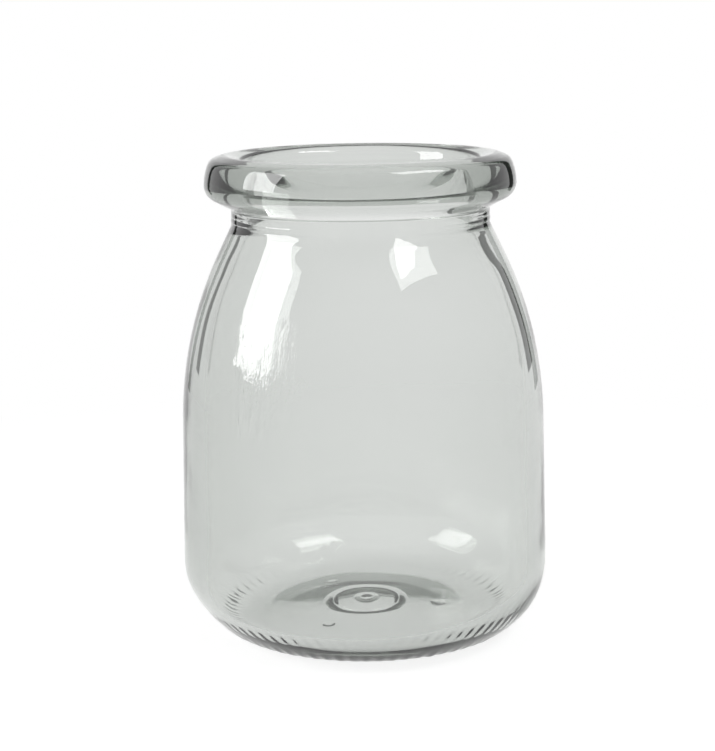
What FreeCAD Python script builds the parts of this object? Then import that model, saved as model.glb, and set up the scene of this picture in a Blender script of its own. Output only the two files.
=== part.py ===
"""Clear glass pudding jar: one blown piece of soda-lime glass, empty and open at the top.

Millimetres, +Z up. The origin is the centre of the ring that the jar stands on.
Every wall is one turned outline in the (radius, height) half plane. The knurls on
the heel and the plain raised marks under the base are added to that turned body.
"""
import FreeCAD, Part
import math
import os

# ---- driving dimensions: outside -------------------------------------------------
JAR_HEIGHT = 86.0            # standing ring to the crest of the rim
BODY_RADIUS = 32.9           # widest, just above the heel
BODY_DRAW = 1.2              # degrees that the body leans in as it rises
HEEL_ROUNDING = 13.3         # round corner between body and base
HEEL_TOP = 12.7              # height at which the body is BODY_RADIUS wide
SHOULDER_RADIUS = 70.0       # long arc from body to shoulder cone
SHOULDER_LEAN = 26.2         # degrees that the shoulder cone leans in
NECK_RADIUS = 22.75
NECK_BOTTOM = 73.55          # height where the shoulder cone meets the neck
NECK_FILLET = 1.2
BEAD_ROOT = 76.5             # height where the neck would meet the rim's underside
BEAD_UNDERSIDE_LEAN = 63.0   # degrees off vertical
BEAD_ROOT_FILLET = 0.9
BEAD_RADIUS = 27.4           # widest part of the rim
BEAD_BELLY = 2.8             # rounding between underside and side of the rim
RIM_SHOULDER = 82.3          # height above which the rim leans in
RIM_SIDE_ROUNDING = 9.0
RIM_EDGE_RADIUS = 26.35      # outer edge of the rim's domed top
RIM_EDGE_HEIGHT = 85.0
RIM_EDGE_ROUNDING = 1.8
CREST_RADIUS = 23.6          # the rim is highest here
CREST_ROUNDING = 3.0
SEAM_LEVEL = 74.4            # height of the raised mould line round the neck
SEAM_HEIGHT = 0.12
SEAM_WIDTH = 0.7

# ---- driving dimensions: inside --------------------------------------------------
LIP_RADIUS = 20.9            # the bore opens to this at the rim
LIP_HEIGHT = 85.0
LIP_ROUNDING = 1.6
BORE_RADIUS = 19.9           # narrowest, inside the neck
BORE_BOTTOM = 71.9
INNER_NECK_FILLET = 4.0
INNER_SHOULDER_LEAN = 27.7   # degrees
INNER_SHOULDER_RADIUS = 60.0
CAVITY_RADIUS = 29.1         # inside the body, just above the bottom
CAVITY_DRAW = 0.5            # degrees
FLOOR_EDGE = 3.3             # height of the inside bottom, carried out to the wall
FLOOR_CORNER = 8.0
FLOOR_CENTRE = 6.0           # the inside bottom rises to the middle
FLOOR_CROWN = 3.6            # radius of the flat middle of the inside bottom
FLOOR_BLEND = 60.0

# ---- driving dimensions: underside -----------------------------------------------
RING_INNER_RADIUS = 18.4     # inside this the underside rises off the table
RING_ROUNDING = 6.0
PUSH_UP = 2.5                # depth of the hollow in the underside
PUSH_UP_CROWN = 2.6
PUSH_UP_BLEND = 30.0
KNURL_COUNT = 72
KNURL_HEIGHT = 0.2
KNURL_DUTY = 0.5             # width of a knurl over its pitch
KNURL_INNER_RADIUS = 24.4
KNURL_OUTER_RADIUS = 28.2
MARK_RING_RADIUS = 5.8       # plain raised circle under the base
MARK_RING_WIDTH = 0.8
MARK_RELIEF = 0.35
MARK_DOT_RADIUS = 0.9
MARK_DOT_CIRCLE = 13.0       # three plain dots stand on this circle
MARK_DOT_COUNT = 3
BURIED = 0.8                 # how far an added feature reaches into the glass

AXIS = FreeCAD.Vector(0, 0, 1)
ORIGIN = FreeCAD.Vector(0, 0, 0)


def point(radius, height):
    """A point of the half plane y = 0."""
    return FreeCAD.Vector(radius, 0, height)


def rounded_edges(corners):
    """Edges of an open outline through (radius, height, rounding) corners."""
    edges = []
    here = point(*corners[0][:2])
    for index in range(1, len(corners) - 1):
        corner = point(*corners[index][:2])
        back = (point(*corners[index - 1][:2]) - corner).normalize()
        ahead = (point(*corners[index + 1][:2]) - corner).normalize()
        rounding = corners[index][2]
        half = back.getAngle(ahead) / 2
        reach = rounding / math.tan(half)
        start = corner + back * reach
        end = corner + ahead * reach
        bisector = (back + ahead).normalize()
        centre = corner + bisector * (rounding / math.sin(half))
        middle = centre - bisector * rounding
        if (start - here).Length > 1e-6:
            edges.append(Part.LineSegment(here, start).toShape())
        edges.append(Part.Arc(start, middle, end).toShape())
        here = end
    edges.append(Part.LineSegment(here, point(*corners[-1][:2])).toShape())
    return edges


def lean(degrees):
    """Radius lost for each millimetre of height."""
    return math.tan(math.radians(degrees))


def body_line(height):
    return BODY_RADIUS - lean(BODY_DRAW) * (height - HEEL_TOP)


def shoulder_corner():
    """Where the leaning body line would meet the shoulder cone."""
    rise = NECK_RADIUS - body_line(NECK_BOTTOM)
    height = NECK_BOTTOM + rise / (lean(SHOULDER_LEAN) - lean(BODY_DRAW))
    return body_line(height), height


def inner_shoulder_corner():
    """Where the inner shoulder cone would meet the cavity's wall."""
    slope = lean(INNER_SHOULDER_LEAN) - lean(CAVITY_DRAW)
    wall_at_top = CAVITY_RADIUS - lean(CAVITY_DRAW) * (BORE_BOTTOM - FLOOR_EDGE)
    height = BORE_BOTTOM - (wall_at_top - BORE_RADIUS) / slope
    return BORE_RADIUS + lean(INNER_SHOULDER_LEAN) * (BORE_BOTTOM - height), height


def underside_corners():
    return [
        (0, PUSH_UP),
        (PUSH_UP_CROWN, PUSH_UP, PUSH_UP_BLEND),
        (RING_INNER_RADIUS, 0, RING_ROUNDING),
    ]


def outside_corners():
    shoulder_radius, shoulder_height = shoulder_corner()
    underside = BEAD_RADIUS - NECK_RADIUS
    belly_height = BEAD_ROOT + underside / lean(BEAD_UNDERSIDE_LEAN)
    return [
        (body_line(0), 0, HEEL_ROUNDING),
        (shoulder_radius, shoulder_height, SHOULDER_RADIUS),
        (NECK_RADIUS, NECK_BOTTOM, NECK_FILLET),
        (NECK_RADIUS, BEAD_ROOT, BEAD_ROOT_FILLET),
        (BEAD_RADIUS, belly_height, BEAD_BELLY),
        (BEAD_RADIUS, RIM_SHOULDER, RIM_SIDE_ROUNDING),
        (RIM_EDGE_RADIUS, RIM_EDGE_HEIGHT, RIM_EDGE_ROUNDING),
        (CREST_RADIUS, JAR_HEIGHT, CREST_ROUNDING),
    ]


def inside_corners():
    wall_radius, wall_height = inner_shoulder_corner()
    return [
        (LIP_RADIUS, LIP_HEIGHT, LIP_ROUNDING),
        (BORE_RADIUS, BORE_BOTTOM, INNER_NECK_FILLET),
        (wall_radius, wall_height, INNER_SHOULDER_RADIUS),
        (CAVITY_RADIUS, FLOOR_EDGE, FLOOR_CORNER),
        (FLOOR_CROWN, FLOOR_CENTRE, FLOOR_BLEND),
        (0, FLOOR_CENTRE),
    ]


def turned_body():
    """The whole glass wall, floor and rim as one turned solid."""
    edges = rounded_edges(underside_corners() + outside_corners() + inside_corners())
    edges.append(Part.LineSegment(point(0, FLOOR_CENTRE), point(0, PUSH_UP)).toShape())
    face = Part.Face(Part.Wire(edges))
    return face.revolve(ORIGIN, AXIS, 360)


def mould_seam():
    """A low raised line round the neck, left by the neck mould."""
    foot = point(NECK_RADIUS - BURIED, SEAM_LEVEL - SEAM_WIDTH / 2)
    corners = [
        foot,
        point(NECK_RADIUS, SEAM_LEVEL - SEAM_WIDTH / 2),
        point(NECK_RADIUS + SEAM_HEIGHT, SEAM_LEVEL),
        point(NECK_RADIUS, SEAM_LEVEL + SEAM_WIDTH / 2),
        point(NECK_RADIUS - BURIED, SEAM_LEVEL + SEAM_WIDTH / 2),
        foot,
    ]
    return Part.Face(Part.makePolygon(corners)).revolve(ORIGIN, AXIS, 360)


def heel_centre():
    """Radius at which the heel's arc is centred; its height is HEEL_ROUNDING."""
    corner_angle = math.radians(90 + BODY_DRAW)
    return body_line(0) - HEEL_ROUNDING / math.tan(corner_angle / 2)


def heel_height(radius):
    """Height of the heel's arc, moved outwards by the knurls' height."""
    reach = HEEL_ROUNDING + KNURL_HEIGHT
    return HEEL_ROUNDING - math.sqrt(reach ** 2 - (radius - heel_centre()) ** 2)


def knurl():
    """One radial ridge that follows the heel and stays above the table."""
    middle = (KNURL_INNER_RADIUS + KNURL_OUTER_RADIUS) / 2
    start = point(KNURL_INNER_RADIUS, heel_height(KNURL_INNER_RADIUS))
    crown = point(middle, heel_height(middle))
    end = point(KNURL_OUTER_RADIUS, heel_height(KNURL_OUTER_RADIUS))
    lift = FreeCAD.Vector(0, 0, BURIED)
    edges = [
        Part.Arc(start, crown, end).toShape(),
        Part.LineSegment(end, end + lift).toShape(),
        Part.LineSegment(end + lift, start + lift).toShape(),
        Part.LineSegment(start + lift, start).toShape(),
    ]
    pitch = 360 / KNURL_COUNT
    return Part.Face(Part.Wire(edges)).revolve(ORIGIN, AXIS, pitch * KNURL_DUTY)


def knurls():
    first = knurl()
    ridges = []
    for index in range(KNURL_COUNT):
        ridge = first.copy()
        ridge.rotate(ORIGIN, AXIS, index * 360 / KNURL_COUNT)
        ridges.append(ridge)
    return ridges


def underside_height(radius):
    """Height of the hollow's sloping surface under the base."""
    slope = PUSH_UP / (RING_INNER_RADIUS - PUSH_UP_CROWN)
    return PUSH_UP - slope * max(0.0, radius - PUSH_UP_CROWN)


def raised_ring(radius, width):
    """A plain circle that stands out of the underside, flat below."""
    bottom = underside_height(radius) - MARK_RELIEF
    top = point(0, bottom)
    outer = Part.makeCylinder(radius + width / 2, BURIED, top)
    return outer.cut(Part.makeCylinder(radius - width / 2, BURIED, top))


def raised_dot(radius):
    height = underside_height(radius + MARK_DOT_RADIUS) - MARK_RELIEF
    return Part.makeCylinder(MARK_DOT_RADIUS, BURIED, point(radius, height))


def base_marks():
    """A plain raised circle, its middle dot and three more dots under the base."""
    marks = [raised_ring(MARK_RING_RADIUS, MARK_RING_WIDTH), raised_dot(0)]
    for index in range(MARK_DOT_COUNT):
        dot = raised_dot(MARK_DOT_CIRCLE)
        dot.rotate(ORIGIN, AXIS, index * 360 / MARK_DOT_COUNT)
        marks.append(dot)
    return marks


def glass_jar():
    features = [mould_seam()] + knurls() + base_marks()
    jar = turned_body().multiFuse(features)
    if len(jar.Solids) != 1 or not jar.isValid():
        raise ValueError("the jar is not one valid solid")
    return jar.Solids[0]


os.makedirs("parts", exist_ok=True)
jar = glass_jar()
jar.exportStep("parts/glass_jar.step")
print("glass volume", round(jar.Volume), "mm3; box", jar.BoundBox)
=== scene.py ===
"""Looks of an empty glass pudding jar, standing on a white floor between two windows."""
import math

import bpy
from mathutils import Matrix, Vector, noise


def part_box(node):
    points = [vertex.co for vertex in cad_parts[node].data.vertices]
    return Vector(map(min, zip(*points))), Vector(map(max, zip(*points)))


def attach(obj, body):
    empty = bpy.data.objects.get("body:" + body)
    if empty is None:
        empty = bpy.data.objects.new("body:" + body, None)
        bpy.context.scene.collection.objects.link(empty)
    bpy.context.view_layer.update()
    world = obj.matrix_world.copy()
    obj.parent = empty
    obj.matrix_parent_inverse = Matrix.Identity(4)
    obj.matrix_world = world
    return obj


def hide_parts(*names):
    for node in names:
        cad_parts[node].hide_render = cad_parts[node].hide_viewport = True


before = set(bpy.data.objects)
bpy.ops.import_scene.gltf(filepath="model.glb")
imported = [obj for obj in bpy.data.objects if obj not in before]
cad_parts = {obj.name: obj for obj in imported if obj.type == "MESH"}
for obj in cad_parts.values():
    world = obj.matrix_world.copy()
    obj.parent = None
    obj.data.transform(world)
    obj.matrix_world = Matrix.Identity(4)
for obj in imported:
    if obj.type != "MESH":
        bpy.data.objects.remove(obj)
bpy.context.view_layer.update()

MM = 0.001
NODE = "glass_jar"

# ---- the jar's outline, in millimetres, as its construction has it ----------------
jar_low, jar_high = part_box(NODE)
JAR_HEIGHT = (jar_high.z - jar_low.z) / MM + 0.14    # corner that the crest rounds off
BODY_RADIUS = 32.85
BODY_DRAW = 1.2              # degrees that the body leans in as it rises
HEEL_ROUNDING = 13.3
HEEL_TOP = 12.7              # height where the heel runs into the body
SHOULDER_RADIUS = 70.0
SHOULDER_LEAN = 26.2         # degrees
NECK_RADIUS = 22.75
NECK_BOTTOM = 73.55
NECK_FILLET = 1.2
BEAD_ROOT = 76.5
BEAD_UNDERSIDE_LEAN = 63.0   # degrees
BEAD_ROOT_FILLET = 0.9
BEAD_RADIUS = 27.4
BEAD_BELLY = 2.8
RIM_SHOULDER = 82.3
RIM_SIDE_ROUNDING = 9.0
RIM_EDGE_RADIUS = 26.35
RIM_EDGE_HEIGHT = 85.0
RIM_EDGE_ROUNDING = 1.8
CREST_RADIUS = 23.6
CREST_ROUNDING = 3.0

BORE_RADIUS = 19.9
BORE_BOTTOM = 71.9
INNER_SHOULDER_LEAN = 27.7   # degrees
LIP_RADIUS = 20.9
LIP_HEIGHT = 85.0
LIP_ROUNDING = 1.6
CAVITY_RADIUS = 29.1
CAVITY_DRAW = 0.5            # degrees
INNER_SHOULDER_RADIUS = 60.0
INNER_NECK_FILLET = 4.0
FLOOR_EDGE = 3.3
FLOOR_CORNER = 8.0
FLOOR_CENTRE = 6.0
FLOOR_CROWN = 3.6
FLOOR_BLEND = 60.0

RING_INNER_RADIUS = 18.4
RING_ROUNDING = 6.0
PUSH_UP = 2.5
PUSH_UP_CROWN = 2.6
PUSH_UP_BLEND = 30.0

# ---- surface detail, in millimetres ------------------------------------------------
SEGMENTS = 400               # round the jar
WALL_SPACING = 1.25          # between points of the outline on plain walls
FINE_SPACING = 0.3           # where seams, knurls and marks are
ARC_STEP = math.radians(9)
SEAM_LEVEL = 74.4
SEAM_HEIGHT = 0.1
SEAM_WIDTH = 0.7
MOULD_LINE_HEIGHT = 0.05     # the two upright lines left by the halves of the mould
MOULD_LINE_WIDTH = 0.5
MOULD_LINE_TURN = math.radians(-69)
KNURL_COUNT = 72
KNURL_HEIGHT = 0.2
KNURL_INNER_RADIUS = 24.4
KNURL_OUTER_RADIUS = 28.2
KNURL_TOP = 4.0
KNURL_DUTY = 0.85            # width of a knurl's foot as a share of the spacing
MARK_RING_RADIUS = 5.8
MARK_RING_WIDTH = 0.8
MARK_RELIEF = 0.35
MARK_EDGE = 0.35
MARK_DOT_RADIUS = 0.9
MARK_DOT_CIRCLE = 13.0
MARK_DOT_COUNT = 3
OUTER_WAVE = 0.03            # depth of the slow waves in the outer surface
INNER_WAVE = 0.06
SLOW_WAVE_LENGTH = 17
MIDDLE_WAVE_LENGTH = 7
MIDDLE_WAVE_SHARE = 0.35
STREAK = 0.004               # depth of the upright streaks
STREAK_WIDTH = 2.6
STREAK_LENGTH = 15
HEEL_UNEVENNESS = 0.4        # the foot is this much fuller on the right, and leaner on the left
HEEL_UNEVEN_LEVEL = 4.5
HEEL_UNEVEN_SPAN = 14.0
CORE_SHIFT = 0.3             # the hollow sits this much to the right
CORE_FADE_LOW = 12           # the shift grows over this height above the floor
CORE_FADE_HIGH = 6           # and ends over this height below the bore

# ---- the glass ----------------------------------------------------------------------
# Painted shade: the glass absorbs far more than it should, greying it as if a grey studio showed
# through it; only the trace of green is its own tint.
GLASS_TINT_AND_SHADE = (0.42, 0.46, 0.42, 1.0)
TINT_AND_SHADE_DENSITY = 110.0         # much greyer than real clear glass, which absorbs hardly any light
RIPPLE_SCALE = 850.0
RIPPLE_STRETCH = (1.0, 1.0, 0.25)
RIPPLE_DEPTH = 0.14
# each side of the rippled patch: (no ripple, full ripple)
PATCH_LEFT, PATCH_RIGHT = (-22, -19), (-8, -11)
PATCH_FRONT = (-2, -8)
PATCH_BOTTOM, PATCH_TOP = (36, 42), (62, 56)

# ---- the view ----------------------------------------------------------------------
LENS = 90.0
CAMERA_DISTANCE = 0.330
CAMERA_HEIGHT = 0.1113
CAMERA_PITCH = math.radians(11.19)
CAMERA_ROLL = math.radians(0.80)
CAMERA_YAW = math.radians(0.16)

BOUNCES = 64

# ---- the studio ---------------------------------------------------------------------
FLOOR_SIZE = 8.0
FLOOR_GAP = 0.05             # millimetres under the jar
SEEN_WHITE = (1.0, 1.0, 1.0, 1.0)
STUDIO_GREY = (0.64, 0.645, 0.63, 1.0)
# painted shade: dark grey of sheets that stand in for dark surroundings, seen in the glass as
# dark lines
SHADE_CARD_GREY = (0.08, 0.085, 0.08, 1.0)
CEILING_GREY = (0.25, 0.255, 0.25, 1.0)
# what the walls and the ceiling shed on the floor, by the sine of elevation
WALLS = [(0.50, STUDIO_GREY), (0.70, CEILING_GREY)]
FLOOR_GLOW = 0.82            # the floor's own white; its lit share carries the shadow
FLOOR_COLOUR = (0.30, 0.30, 0.30, 1.0)
# 0 where the floor shows the shadow, 1 where it is plain white, by metres from the jar's axis
SHADOW_REACH = [(0.08, (0.0, 0.0, 0.0, 1.0)), (0.20, (1.0, 1.0, 1.0, 1.0))]
CARD_AZIMUTH = 141.4         # degrees from the camera's side
CARD_DISTANCE = 0.32
CARD_HEIGHT = 0.4
LEFT_CARD_WIDTH = 0.035
RIGHT_CARD_WIDTH = 0.06
WINDOW_DISTANCE = 0.7
WINDOW_RADIANCE = 7.0


# ------------------------------------------------------------------ outline of the jar
def lean(degrees):
    """Radius lost for each millimetre of height."""
    return math.tan(math.radians(degrees))


def body_line(height):
    return BODY_RADIUS - lean(BODY_DRAW) * (height - HEEL_TOP)


def shoulder_corner():
    rise = NECK_RADIUS - body_line(NECK_BOTTOM)
    height = NECK_BOTTOM + rise / (lean(SHOULDER_LEAN) - lean(BODY_DRAW))
    return body_line(height), height


def inner_shoulder_corner():
    """Where the inner shoulder cone would meet the cavity's wall."""
    slope = lean(INNER_SHOULDER_LEAN) - lean(CAVITY_DRAW)
    wall_at_top = CAVITY_RADIUS - lean(CAVITY_DRAW) * (BORE_BOTTOM - FLOOR_EDGE)
    height = BORE_BOTTOM - (wall_at_top - BORE_RADIUS) / slope
    return BORE_RADIUS + lean(INNER_SHOULDER_LEAN) * (BORE_BOTTOM - height), height


def outline_corners():
    """(radius, height, rounding) from the middle of the underside to that of the floor."""
    shoulder_radius, shoulder_height = shoulder_corner()
    belly_height = BEAD_ROOT + (BEAD_RADIUS - NECK_RADIUS) / lean(BEAD_UNDERSIDE_LEAN)
    wall_radius, wall_height = inner_shoulder_corner()
    return [
        (0, PUSH_UP, 0),
        (PUSH_UP_CROWN, PUSH_UP, PUSH_UP_BLEND),
        (RING_INNER_RADIUS, 0, RING_ROUNDING),
        (body_line(0), 0, HEEL_ROUNDING),
        (shoulder_radius, shoulder_height, SHOULDER_RADIUS),
        (NECK_RADIUS, NECK_BOTTOM, NECK_FILLET),
        (NECK_RADIUS, BEAD_ROOT, BEAD_ROOT_FILLET),
        (BEAD_RADIUS, belly_height, BEAD_BELLY),
        (BEAD_RADIUS, RIM_SHOULDER, RIM_SIDE_ROUNDING),
        (RIM_EDGE_RADIUS, RIM_EDGE_HEIGHT, RIM_EDGE_ROUNDING),
        (CREST_RADIUS, JAR_HEIGHT, CREST_ROUNDING),
        (LIP_RADIUS, LIP_HEIGHT, LIP_ROUNDING),
        (BORE_RADIUS, BORE_BOTTOM, INNER_NECK_FILLET),
        (wall_radius, wall_height, INNER_SHOULDER_RADIUS),
        (CAVITY_RADIUS, FLOOR_EDGE, FLOOR_CORNER),
        (FLOOR_CROWN, FLOOR_CENTRE, FLOOR_BLEND),
        (0, FLOOR_CENTRE, 0),
    ]


def spacing_at(place):
    """Finer steps along the outline where it carries small relief."""
    radius, height = place
    on_seam = radius > BORE_RADIUS + 1.5 and abs(height - SEAM_LEVEL) < 1.0
    on_knurl = height < KNURL_TOP and KNURL_INNER_RADIUS - 1 < radius < KNURL_OUTER_RADIUS + 1
    under = height < PUSH_UP + 0.2
    on_ring = under and abs(radius - MARK_RING_RADIUS) < MARK_RING_WIDTH
    on_dot = under and abs(radius - MARK_DOT_CIRCLE) < 2 * MARK_DOT_RADIUS
    if on_seam or on_ring or on_dot:
        return FINE_SPACING
    if on_knurl:
        return 2 * FINE_SPACING
    return WALL_SPACING


def add_line(places, end):
    """Points from the last place to end, end included."""
    while True:
        here = places[-1]
        ahead = end - here
        step = spacing_at(here + ahead.normalized() * FINE_SPACING)
        if ahead.length < 1.5 * step:
            break
        places.append(here + ahead.normalized() * step)
    places.append(end)


def add_arc(places, centre, start, end):
    """Points on the short arc from start, which is the last place, to end."""
    out = start - centre
    turn = out.angle_signed(end - centre) * -1
    travelled = 0.0
    while True:
        step = min(spacing_at(places[-1]) / out.length, ARC_STEP)
        if travelled + 1.5 * step > abs(turn):
            break
        travelled += step
        angle = math.copysign(travelled, turn)
        spin = Matrix.Rotation(angle, 2)
        places.append(centre + spin @ out)
    places.append(end)


def outline():
    """The jar's closed half section as points in the (radius, height) plane."""
    corners = outline_corners()
    places = [Vector(corners[0][:2])]
    for index in range(1, len(corners) - 1):
        corner = Vector(corners[index][:2])
        back = (Vector(corners[index - 1][:2]) - corner).normalized()
        ahead = (Vector(corners[index + 1][:2]) - corner).normalized()
        rounding = corners[index][2]
        half = back.angle(ahead) / 2
        reach = rounding / math.tan(half)
        start = corner + back * reach
        end = corner + ahead * reach
        centre = corner + (back + ahead).normalized() * (rounding / math.sin(half))
        add_line(places, start)
        add_arc(places, centre, start, end)
    add_line(places, Vector(corners[-1][:2]))
    return places


def outward(places, index):
    """Unit normal of the outline at a point, away from the glass."""
    before = places[max(index - 1, 0)]
    after = places[min(index + 1, len(places) - 1)]
    along = (after - before).normalized()
    return Vector((along.y, -along.x))


# ------------------------------------------------------------------ relief and waviness
def bump(distance, width):
    """A smooth bump, 1 at no distance and 0 from half the width on."""
    share = min(abs(distance) / (width / 2), 1.0)
    return (1 - share * share) ** 2


def knurl_relief(radius, height, angle):
    if height > KNURL_TOP or not KNURL_INNER_RADIUS < radius < KNURL_OUTER_RADIUS:
        return 0.0
    turn = angle / (2 * math.pi) * KNURL_COUNT
    number = math.floor(turn + 0.5)
    depth = 0.75 + 0.5 * noise.noise(Vector((number * 1.7, 3.1, 0.4)))
    across = bump(turn - number, KNURL_DUTY)
    middle = (KNURL_INNER_RADIUS + KNURL_OUTER_RADIUS) / 2
    along = bump(radius - middle, KNURL_OUTER_RADIUS - KNURL_INNER_RADIUS)
    return KNURL_HEIGHT * depth * across * math.sqrt(along)


def plateau(distance, width, edge):
    """A flat-topped bump with soft edges."""
    inside = width / 2 - abs(distance)
    share = min(max(inside / edge + 0.5, 0.0), 1.0)
    return share * share * (3 - 2 * share)


def mark_relief(radius, angle):
    """The plain raised circle, its middle dot and three dots under the base."""
    relief = plateau(radius - MARK_RING_RADIUS, MARK_RING_WIDTH, MARK_EDGE)
    relief = max(relief, plateau(radius, 2 * MARK_DOT_RADIUS, MARK_EDGE))
    for index in range(MARK_DOT_COUNT):
        turn = angle - 2 * math.pi * index / MARK_DOT_COUNT
        gap = math.hypot(radius * math.cos(turn) - MARK_DOT_CIRCLE, radius * math.sin(turn))
        relief = max(relief, plateau(gap, 2 * MARK_DOT_RADIUS, MARK_EDGE))
    return MARK_RELIEF * relief


def seam_relief(height, angle):
    """The line round the neck, and the two faint upright lines on the body."""
    relief = SEAM_HEIGHT * bump(height - SEAM_LEVEL, SEAM_WIDTH)
    if HEEL_TOP / 2 < height < NECK_BOTTOM:
        turn = math.remainder(angle - MOULD_LINE_TURN, math.pi)
        relief += MOULD_LINE_HEIGHT * bump(turn * BODY_RADIUS, MOULD_LINE_WIDTH)
    return relief


def waves(place, depth, seed):
    """Slow unevenness of hot-formed glass with finer upright streaks on it."""
    slow = noise.noise(place * (1 / SLOW_WAVE_LENGTH) + Vector((seed, 0, 0)))
    middle = noise.noise(place * (1 / MIDDLE_WAVE_LENGTH) + Vector((0, seed, 0)))
    streaked = Vector((place.x / STREAK_WIDTH, place.y / STREAK_WIDTH, place.z / STREAK_LENGTH))
    streaks = noise.noise(streaked + Vector((0, 0, seed)))
    return depth * (slow + MIDDLE_WAVE_SHARE * middle) + STREAK * streaks


def displacement(place, radius, height, angle, inner):
    if inner:
        return waves(place, INNER_WAVE, 5.3)
    if height < PUSH_UP + 0.1 and radius < RING_INNER_RADIUS - 2:
        return mark_relief(radius, angle)
    fade = min(height / 6, 1.0)
    relief = knurl_relief(radius, height, angle) + seam_relief(height, angle)
    uneven = bump(height - HEEL_UNEVEN_LEVEL, HEEL_UNEVEN_SPAN) * min(height / 1.5, 1.0)
    relief += HEEL_UNEVENNESS * uneven * math.cos(angle)
    return relief + fade * waves(place, OUTER_WAVE, 1.9)


def core_fade(height):
    """1 along the hollow's wall, 0 at the lip and the floor."""
    rise = min(max((height - FLOOR_CENTRE) / CORE_FADE_LOW, 0.0), 1.0)
    drop = min(max((BORE_BOTTOM - height) / CORE_FADE_HIGH, 0.0), 1.0)
    return rise * drop


def glass_mesh():
    """One closed turned mesh: poles in the middle of the underside and of the floor."""
    places = outline()
    crest = max(range(len(places)), key=lambda i: places[i].y)
    while places[crest + 1].y > JAR_HEIGHT - 0.01:
        crest += 1
    vertices = [(0, 0, places[0].y * MM)]
    for index in range(1, len(places) - 1):
        normal = outward(places, index)
        radius, height = places[index]
        inner = index > crest
        near_pole = min(radius / 3, 1.0)
        for step in range(SEGMENTS):
            angle = 2 * math.pi * step / SEGMENTS
            c, s = math.cos(angle), math.sin(angle)
            place = Vector((radius * c, radius * s, height))
            push = displacement(place, radius, height, angle, inner)
            push *= near_pole if inner else 1.0
            r = radius + normal.x * push
            z = max(height + normal.y * push, 0.0)
            shift = CORE_SHIFT * core_fade(height) if inner else 0.0
            vertices.append(((r * c + shift) * MM, r * s * MM, z * MM))
    vertices.append((0, 0, places[-1].y * MM))
    last = len(vertices) - 1
    rings = len(places) - 2
    faces = []
    for step in range(SEGMENTS):
        after = (step + 1) % SEGMENTS
        faces.append((0, 1 + after, 1 + step))
        top = 1 + (rings - 1) * SEGMENTS
        faces.append((last, top + step, top + after))
    for ring in range(rings - 1):
        low = 1 + ring * SEGMENTS
        high = low + SEGMENTS
        for step in range(SEGMENTS):
            after = (step + 1) % SEGMENTS
            faces.append((low + step, low + after, high + after, high + step))
    mesh = bpy.data.meshes.new("jar_glass")
    mesh.from_pydata(vertices, [], faces)
    mesh.validate()
    mesh.shade_smooth()
    return mesh


# ------------------------------------------------------------------ materials
def new_material(name):
    material = bpy.data.materials.new(name)
    material.use_nodes = True
    tree = material.node_tree
    tree.nodes.clear()
    return material, tree


def node(tree, kind, **inputs):
    """Adds a node and sets the inputs named, with _ for a space."""
    made = tree.nodes.new(kind)
    for name, value in inputs.items():
        made.inputs[name.replace("_", " ")].default_value = value
    return made


def ramp(tree, source, stops):
    """A colour ramp over a value."""
    made = tree.nodes.new("ShaderNodeValToRGB")
    for position, colour in stops:
        made.color_ramp.elements.new(position).color = colour
    made.color_ramp.elements.remove(made.color_ramp.elements[0])
    made.color_ramp.elements.remove(made.color_ramp.elements[-1])
    tree.links.new(source, made.inputs["Fac"])
    return made.outputs["Color"]


def mix_shaders(tree, share, first, second):
    made = tree.nodes.new("ShaderNodeMixShader")
    tree.links.new(share, made.inputs["Fac"])
    tree.links.new(first, made.inputs[1])
    tree.links.new(second, made.inputs[2])
    return made.outputs["Shader"]


def share_between(tree, source, none, full):
    """0 where the source is at none, 1 at full and beyond, smooth between."""
    made = tree.nodes.new("ShaderNodeMapRange")
    made.interpolation_type = "SMOOTHSTEP"
    made.inputs["From Min"].default_value = none * MM
    made.inputs["From Max"].default_value = full * MM
    tree.links.new(source, made.inputs["Value"])
    return made.outputs["Result"]


def product(tree, *sources):
    result = sources[0]
    for source in sources[1:]:
        made = tree.nodes.new("ShaderNodeMath")
        made.operation = "MULTIPLY"
        tree.links.new(result, made.inputs[0])
        tree.links.new(source, made.inputs[1])
        result = made.outputs["Value"]
    return result


def glass_material():
    """Glass, greyish with depth as painted shade for a grey studio seen through it, with a trace
    of green of its own, and one rippled patch on the shoulder.
    """
    material, tree = new_material("clear_glass")
    links = tree.links
    coordinates = tree.nodes.new("ShaderNodeTexCoord")
    stretch = node(tree, "ShaderNodeMapping", Scale=RIPPLE_STRETCH)
    ripple = node(tree, "ShaderNodeTexNoise", Scale=RIPPLE_SCALE, Detail=3.0, Roughness=0.6)
    place = tree.nodes.new("ShaderNodeSeparateXYZ")
    links.new(coordinates.outputs["Object"], place.inputs["Vector"])
    links.new(coordinates.outputs["Object"], stretch.inputs["Vector"])
    links.new(stretch.outputs["Vector"], ripple.inputs["Vector"])
    x, y, z = place.outputs
    height = product(
        tree, ripple.outputs["Fac"],
        share_between(tree, x, *PATCH_LEFT), share_between(tree, x, *PATCH_RIGHT),
        share_between(tree, y, *PATCH_FRONT),
        share_between(tree, z, *PATCH_BOTTOM), share_between(tree, z, *PATCH_TOP),
    )
    relief = node(tree, "ShaderNodeBump", Strength=1.0, Distance=RIPPLE_DEPTH * MM)
    shader = node(
        tree, "ShaderNodeBsdfPrincipled",
        Base_Color=(1.0, 1.0, 1.0, 1.0), Roughness=0.0, IOR=1.52, Transmission_Weight=1.0,
    )
    # painted shade: this absorption greys the glass for a grey studio seen through it, with the
    # glass's own trace of green
    depth = node(tree, "ShaderNodeVolumeAbsorption", Color=GLASS_TINT_AND_SHADE, Density=TINT_AND_SHADE_DENSITY)
    out = tree.nodes.new("ShaderNodeOutputMaterial")
    links.new(height, relief.inputs["Height"])
    links.new(relief.outputs["Normal"], shader.inputs["Normal"])
    links.new(shader.outputs["BSDF"], out.inputs["Surface"])
    links.new(depth.outputs["Volume"], out.inputs["Volume"])
    return material


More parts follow.
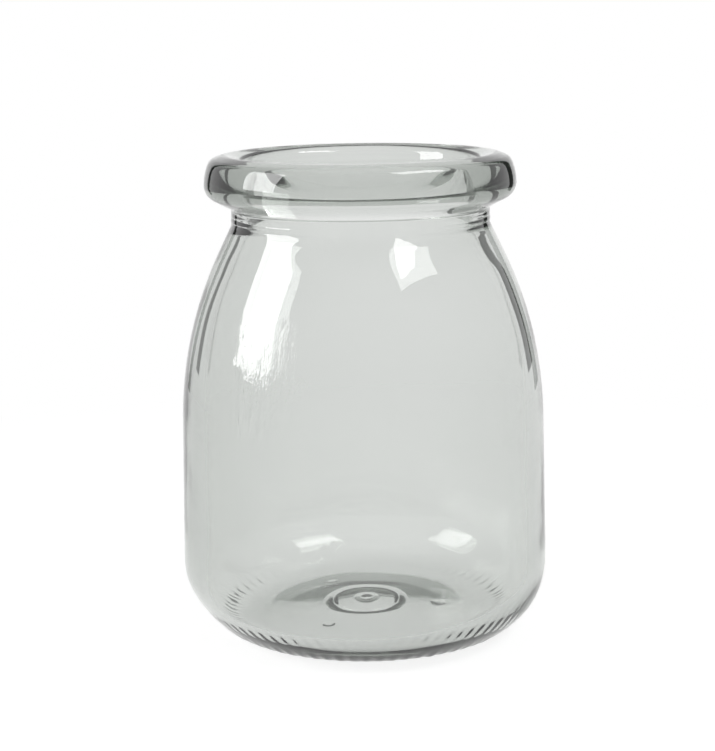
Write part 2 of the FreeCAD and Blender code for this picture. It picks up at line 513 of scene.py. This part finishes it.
def background_rays(tree):
    """1 for the rays that show the background: seen, reflected and refracted."""
    rays = tree.nodes.new("ShaderNodeLightPath")
    shown = rays.outputs["Is Camera Ray"]
    for kind in ("Is Glossy Ray", "Is Transmission Ray"):
        either = tree.nodes.new("ShaderNodeMath")
        either.operation = "MAXIMUM"
        tree.links.new(shown, either.inputs[0])
        tree.links.new(rays.outputs[kind], either.inputs[1])
        shown = either.outputs["Value"]
    return shown


def floor_material():
    """A pale floor that keeps the jar's shadow and fades to plain white further out."""
    material, tree = new_material("pale_floor")
    links = tree.links
    place = tree.nodes.new("ShaderNodeTexCoord")
    distance = tree.nodes.new("ShaderNodeVectorMath")
    distance.operation = "LENGTH"
    links.new(place.outputs["Object"], distance.inputs[0])
    glow = node(tree, "ShaderNodeEmission", Color=SEEN_WHITE, Strength=FLOOR_GLOW)
    lit = node(tree, "ShaderNodeBsdfDiffuse", Color=FLOOR_COLOUR)
    seen = tree.nodes.new("ShaderNodeAddShader")
    links.new(glow.outputs["Emission"], seen.inputs[0])
    links.new(lit.outputs["BSDF"], seen.inputs[1])
    bare = node(tree, "ShaderNodeEmission", Color=SEEN_WHITE)
    far = ramp(tree, distance.outputs["Value"], SHADOW_REACH)
    around = mix_shaders(tree, far, seen.outputs["Shader"], bare.outputs["Emission"])
    out = tree.nodes.new("ShaderNodeOutputMaterial")
    shown = mix_shaders(tree, background_rays(tree), lit.outputs["BSDF"], around)
    links.new(shown, out.inputs["Surface"])
    return material


# ------------------------------------------------------------------ studio
def studio_world():
    """A white background, in the glass too; its light on the floor is that of pale walls."""
    world = bpy.data.worlds.new("studio")
    bpy.context.scene.world = world
    world.use_nodes = True
    tree = world.node_tree
    tree.nodes.clear()
    direction = tree.nodes.new("ShaderNodeTexCoord")
    parts = tree.nodes.new("ShaderNodeSeparateXYZ")
    tree.links.new(direction.outputs["Generated"], parts.inputs["Vector"])
    walls = tree.nodes.new("ShaderNodeBackground")
    tree.links.new(ramp(tree, parts.outputs["Z"], WALLS), walls.inputs["Color"])
    seen = node(tree, "ShaderNodeBackground", Color=SEEN_WHITE)
    out = tree.nodes.new("ShaderNodeOutputWorld")
    shown = mix_shaders(
        tree, background_rays(tree), walls.outputs["Background"], seen.outputs["Background"],
    )
    tree.links.new(shown, out.inputs["Surface"])


def towards(azimuth, elevation):
    """Direction from the jar. Azimuth 0 is the camera's side, 90 its right."""
    a, e = math.radians(azimuth), math.radians(elevation)
    return Vector((math.sin(a) * math.cos(e), -math.cos(a) * math.cos(e), math.sin(e)))


def shade_card(name, azimuth, width):
    """An upright dark sheet, painted shade: the camera doesn't see it and it casts no shadow,
    and the glass shows it as dark lines along its edges in place of dark surroundings.
    """
    material, tree = new_material(name)
    dark = node(tree, "ShaderNodeEmission", Color=SHADE_CARD_GREY)
    out = tree.nodes.new("ShaderNodeOutputMaterial")
    tree.links.new(dark.outputs["Emission"], out.inputs["Surface"])
    mesh = bpy.data.meshes.new(name)
    w, h = width / 2, CARD_HEIGHT
    mesh.from_pydata([(-w, 0, 0), (w, 0, 0), (w, 0, h), (-w, 0, h)], [], [(0, 1, 2, 3)])
    obj = bpy.data.objects.new(name, mesh)
    bpy.context.scene.collection.objects.link(obj)
    obj.data.materials.append(material)
    obj.location = towards(azimuth, 0) * CARD_DISTANCE
    obj.location.z = jar_low.z
    obj.rotation_euler.z = math.radians(azimuth)
    obj.visible_camera = False
    obj.visible_shadow = False


def floor():
    mesh = bpy.data.meshes.new("floor")
    h = FLOOR_SIZE / 2
    mesh.from_pydata([(-h, -h, 0), (h, -h, 0), (h, h, 0), (-h, h, 0)], [], [(0, 1, 2, 3)])
    obj = bpy.data.objects.new("floor", mesh)
    bpy.context.scene.collection.objects.link(obj)
    obj.data.materials.append(floor_material())
    obj.location.z = jar_low.z - FLOOR_GAP * MM


def window(name, azimuth, elevation, width, height):
    """A soft rectangular light that faces the jar."""
    lamp = bpy.data.lights.new(name, "AREA")
    lamp.shape = "RECTANGLE"
    lamp.size = width
    lamp.size_y = height
    lamp.energy = WINDOW_RADIANCE * math.pi * width * height
    obj = bpy.data.objects.new(name, lamp)
    bpy.context.scene.collection.objects.link(obj)
    away = towards(azimuth, elevation)
    middle = (jar_low + jar_high) / 2
    obj.location = middle + away * WINDOW_DISTANCE
    obj.rotation_euler = away.to_track_quat("Z", "Y").to_euler()
    obj.visible_camera = False


def lights():
    window("left_window", -78, 22, width=0.36, height=0.40)
    window("right_window", 54, 49, width=0.40, height=0.21)


# Painted shade: two dark sheets that put dark lines into the glass.
def shade_cards():
    shade_card("left_card", -CARD_AZIMUTH, LEFT_CARD_WIDTH)
    shade_card("right_card", CARD_AZIMUTH, RIGHT_CARD_WIDTH)


def camera():
    data = bpy.data.cameras.new("camera")
    data.lens = LENS
    obj = bpy.data.objects.new("camera", data)
    bpy.context.scene.collection.objects.link(obj)
    place = Matrix.Translation((0, -CAMERA_DISTANCE, CAMERA_HEIGHT))
    yaw = Matrix.Rotation(CAMERA_YAW, 4, "Z")
    tilt = Matrix.Rotation(math.pi / 2 - CAMERA_PITCH, 4, "X")
    roll = Matrix.Rotation(-CAMERA_ROLL, 4, "Z")
    obj.matrix_world = place @ yaw @ tilt @ roll
    bpy.context.scene.camera = obj


# ------------------------------------------------------------------ the scene
def jar():
    obj = bpy.data.objects.new("jar", glass_mesh())
    bpy.context.scene.collection.objects.link(obj)
    obj.data.materials.append(glass_material())
    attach(obj, "root")
    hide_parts(NODE)


def light_paths():
    """Enough bounces for rays that run round inside the thick rim and base."""
    cycles = bpy.context.scene.cycles
    cycles.max_bounces = BOUNCES
    cycles.transmission_bounces = BOUNCES
    cycles.glossy_bounces = BOUNCES
    bpy.context.scene.view_settings.view_transform = "Standard"


jar()
floor()
studio_world()
lights()
shade_cards()
camera()
light_paths()
